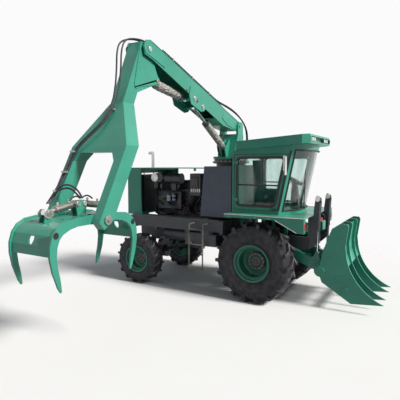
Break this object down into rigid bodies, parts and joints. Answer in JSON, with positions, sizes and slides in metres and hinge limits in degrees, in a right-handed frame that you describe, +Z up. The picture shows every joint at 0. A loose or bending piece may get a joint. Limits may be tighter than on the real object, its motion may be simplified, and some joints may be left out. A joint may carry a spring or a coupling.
{
  "type": "sugarcane loader",
  "caption": "Four-wheeled sugarcane loader with glazed cab, side crane with forked stick and hanging grapple, open rear engine bay and a front push rake on lift arms.",
  "frame": {"origin": "on the ground, at the middle of the whole machine seen from above, crane included", "axes": "+X towards the rake and cab end, +Y to the driver's left (the crane stands out along -Y), +Z up"},
  "size_m": [5.804, 6.8313, 4.698],
  "materials": {
    "green_paint": "satin",
    "black_paint": "satin",
    "cylinder_steel": "satin",
    "rod_chrome": "polished",
    "tyre_rubber": "matte",
    "engine_casting": "matte",
    "cab_glazing": "clear",
    "seat_fabric": "matte",
    "trim_plastic": "matte",
    "lamp_lens": "clear"
  },
  "bodies": {
    "chassis": {"chassis_frame": "black_paint", "front_axle": "black_paint", "rear_axle": "black_paint", "tow_hitch": "black_paint", "deck": "green_paint", "step_box": "black_paint", "access_ladder": "black_paint", "tank_housing": "black_paint", "slew_base": "black_paint", "engine_cover": "green_paint", "radiator_housing": "green_paint", "rear_grille": "black_paint", "radiator": "engine_casting", "engine": "engine_casting", "air_cleaner": "engine_casting", "exhaust": "cylinder_steel", "cab_shell": "green_paint", "cab_glass": "cab_glazing", "cab_roof": "green_paint", "roof_lamps": "lamp_lens", "seat": "seat_fabric", "steering_column": "trim_plastic", "front_tower": "black_paint", "mirror": "black_paint"},
    "wheel_front_right": {"tyre_front_right": "tyre_rubber", "rim_front_right": "green_paint"},
    "wheel_front_left": {"tyre_front_left": "tyre_rubber", "rim_front_left": "green_paint"},
    "wheel_rear_right": {"tyre_rear_right": "tyre_rubber", "rim_rear_right": "green_paint"},
    "wheel_rear_left": {"tyre_rear_left": "tyre_rubber", "rim_rear_left": "green_paint"},
    "steer_right": {"knuckle_right": "black_paint"},
    "steer_left": {"knuckle_left": "black_paint"},
    "door": {"cab_door": "green_paint", "door_glass": "cab_glazing"},
    "column": {"crane_column": "green_paint"},
    "boom": {"boom": "green_paint"},
    "stick": {"stick_fork": "green_paint"},
    "grapple": {"grapple_cross": "green_paint"},
    "outer_jaw": {"jaw_outer": "green_paint"},
    "inner_jaw": {"jaw_inner": "green_paint"},
    "boom_barrel": {"boom_cylinder_barrel": "cylinder_steel"},
    "boom_rod": {"boom_cylinder_rod": "rod_chrome"},
    "stick_barrel": {"stick_cylinder_barrel": "cylinder_steel"},
    "stick_rod": {"stick_cylinder_rod": "rod_chrome"},
    "outer_barrel": {"outer_jaw_cylinder_barrel": "cylinder_steel"},
    "outer_rod": {"outer_jaw_cylinder_rod": "rod_chrome"},
    "inner_barrel": {"inner_jaw_cylinder_barrel": "cylinder_steel"},
    "inner_rod": {"inner_jaw_cylinder_rod": "rod_chrome"},
    "rake": {"rake_arms": "green_paint", "rake": "green_paint"},
    "lift_barrels": {"rake_lift_barrel": "cylinder_steel"},
    "lift_rods": {"rake_lift_rod": "rod_chrome"}
  },
  "joints": [
    {"name": "wheel_front_right_spin", "type": "hinge", "parent": "chassis", "child": "wheel_front_right", "pos_m": [0.538, 1.27065, 0.8], "axis": [0, 1, 0], "continuous": true},
    {"name": "wheel_front_left_spin", "type": "hinge", "parent": "chassis", "child": "wheel_front_left", "pos_m": [0.538, 3.12065, 0.8], "axis": [0, 1, 0], "continuous": true},
    {"name": "steer_right_pivot", "type": "hinge", "parent": "chassis", "child": "steer_right", "pos_m": [-2.322, 1.48065, 0.57], "axis": [0, 0, 1], "range_deg": [-30, 30]},
    {"name": "steer_left_pivot", "type": "hinge", "parent": "chassis", "child": "steer_left", "pos_m": [-2.322, 2.91065, 0.57], "axis": [0, 0, 1], "range_deg": [-30, 30]},
    {"name": "wheel_rear_right_spin", "type": "hinge", "parent": "steer_right", "child": "wheel_rear_right", "pos_m": [-2.322, 1.20265, 0.57], "axis": [0, 1, 0], "continuous": true},
    {"name": "wheel_rear_left_spin", "type": "hinge", "parent": "steer_left", "child": "wheel_rear_left", "pos_m": [-2.322, 3.18865, 0.57], "axis": [0, 1, 0], "continuous": true},
    {"name": "door_hinge", "type": "hinge", "parent": "chassis", "child": "door", "pos_m": [0.008, 1.32965, 2.4], "axis": [0, 0, -1], "range_deg": [0, 85]},
    {"name": "slew", "type": "hinge", "parent": "chassis", "child": "column", "pos_m": [-0.462, 2.19565, 2.889], "axis": [0, 0, 1], "range_deg": [-180, 15]},
    {"name": "boom_lift", "type": "hinge", "parent": "column", "child": "boom", "pos_m": [-0.462, 2.17565, 3.62], "axis": [-1, 0, 0], "range_deg": [-15, 35]},
    {"name": "stick_swing", "type": "hinge", "parent": "boom", "child": "stick", "pos_m": [-0.462, -1.20435, 4.548], "axis": [-1, 0, 0], "range_deg": [-12, 50]},
    {"name": "grapple_hang", "type": "hinge", "parent": "stick", "child": "grapple", "pos_m": [-0.462, -2.59435, 2.056], "axis": [-1, 0, 0], "range_deg": [-35, 35]},
    {"name": "jaw_outer_hinge", "type": "hinge", "parent": "grapple", "child": "outer_jaw", "pos_m": [-0.462, -2.59435, 2.056], "axis": [-1, 0, 0], "range_deg": [-28, 22]},
    {"name": "jaw_inner_hinge", "type": "hinge", "parent": "grapple", "child": "inner_jaw", "pos_m": [-0.462, -2.59435, 2.056], "axis": [1, 0, 0], "range_deg": [-28, 22]},
    {"name": "rake_lift", "type": "hinge", "parent": "chassis", "child": "rake", "pos_m": [0.918, 2.19565, 1.062], "axis": [0, -1, 0], "range_deg": [-5, 25]},
    {"name": "boom_cylinder_barrel_pivot", "type": "hinge", "parent": "column", "child": "boom_barrel", "pos_m": [-0.462, 1.80065, 3.135], "axis": [-1, 0, 0], "range_deg": [-15.37, 35.2]},
    {"name": "boom_cylinder_rod_slide", "type": "slide", "parent": "boom_barrel", "child": "boom_rod", "axis": [0, -0.8742, 0.4856], "range_m": [-0.15706, 0.36113]},
    {"name": "stick_cylinder_barrel_pivot", "type": "hinge", "parent": "stick", "child": "stick_barrel", "pos_m": [-0.462, -0.90935, 4.105], "axis": [-1, 0, 0], "range_deg": [-55.9, 13.79]},
    {"name": "stick_cylinder_rod_slide", "type": "slide", "parent": "stick_barrel", "child": "stick_rod", "axis": [0, 0.993, -0.1179], "range_m": [-0.09604, 0.38748]},
    {"name": "outer_cylinder_barrel_pivot", "type": "hinge", "parent": "grapple", "child": "outer_barrel", "pos_m": [-0.462, -2.65435, 2.246], "axis": [-1, 0, 0], "range_deg": [-29.52, 23.3]},
    {"name": "outer_cylinder_rod_slide", "type": "slide", "parent": "outer_barrel", "child": "outer_rod", "axis": [0, -0.9882, -0.153], "range_m": [-0.07674, 0.09658]},
    {"name": "inner_cylinder_barrel_pivot", "type": "hinge", "parent": "grapple", "child": "inner_barrel", "pos_m": [-0.462, -2.53435, 2.246], "axis": [1, 0, 0], "range_deg": [-29.52, 23.3]},
    {"name": "inner_cylinder_rod_slide", "type": "slide", "parent": "inner_barrel", "child": "inner_rod", "axis": [0, 0.9882, -0.153], "range_m": [-0.07674, 0.09658]},
    {"name": "lift_cylinder_barrel_pivot", "type": "hinge", "parent": "chassis", "child": "lift_barrels", "pos_m": [1.643, 2.19565, 2.08], "axis": [0, -1, 0], "range_deg": [-1.87, 0.77]},
    {"name": "lift_cylinder_rod_slide", "type": "slide", "parent": "lift_barrels", "child": "lift_rods", "axis": [0.0064, 0, -1], "range_m": [-0.32141, 0.06748]}
  ],
  "couplings": [
    {"joint": "steer_left_pivot", "follows": "steer_right_pivot", "ratio": 1},
    {"joint": "jaw_inner_hinge", "follows": "jaw_outer_hinge", "ratio": 1},
    {"joint": "boom_cylinder_barrel_pivot", "follows": "boom_lift", "ratio": 0.9914},
    {"joint": "boom_cylinder_rod_slide", "follows": "boom_lift", "m_per_rad": 0.58463},
    {"joint": "stick_cylinder_barrel_pivot", "follows": "stick_swing", "ratio": -1.1079},
    {"joint": "stick_cylinder_rod_slide", "follows": "stick_swing", "m_per_rad": 0.43944},
    {"joint": "outer_cylinder_barrel_pivot", "follows": "jaw_outer_hinge", "ratio": 1.0365},
    {"joint": "outer_cylinder_rod_slide", "follows": "jaw_outer_hinge", "m_per_rad": -0.18944},
    {"joint": "inner_cylinder_barrel_pivot", "follows": "jaw_outer_hinge", "ratio": 1.0365},
    {"joint": "inner_cylinder_rod_slide", "follows": "jaw_outer_hinge", "m_per_rad": -0.18944},
    {"joint": "lift_cylinder_barrel_pivot", "follows": "rake_lift", "ratio": -0.0548},
    {"joint": "lift_cylinder_rod_slide", "follows": "rake_lift", "m_per_rad": -0.72745}
  ]
}
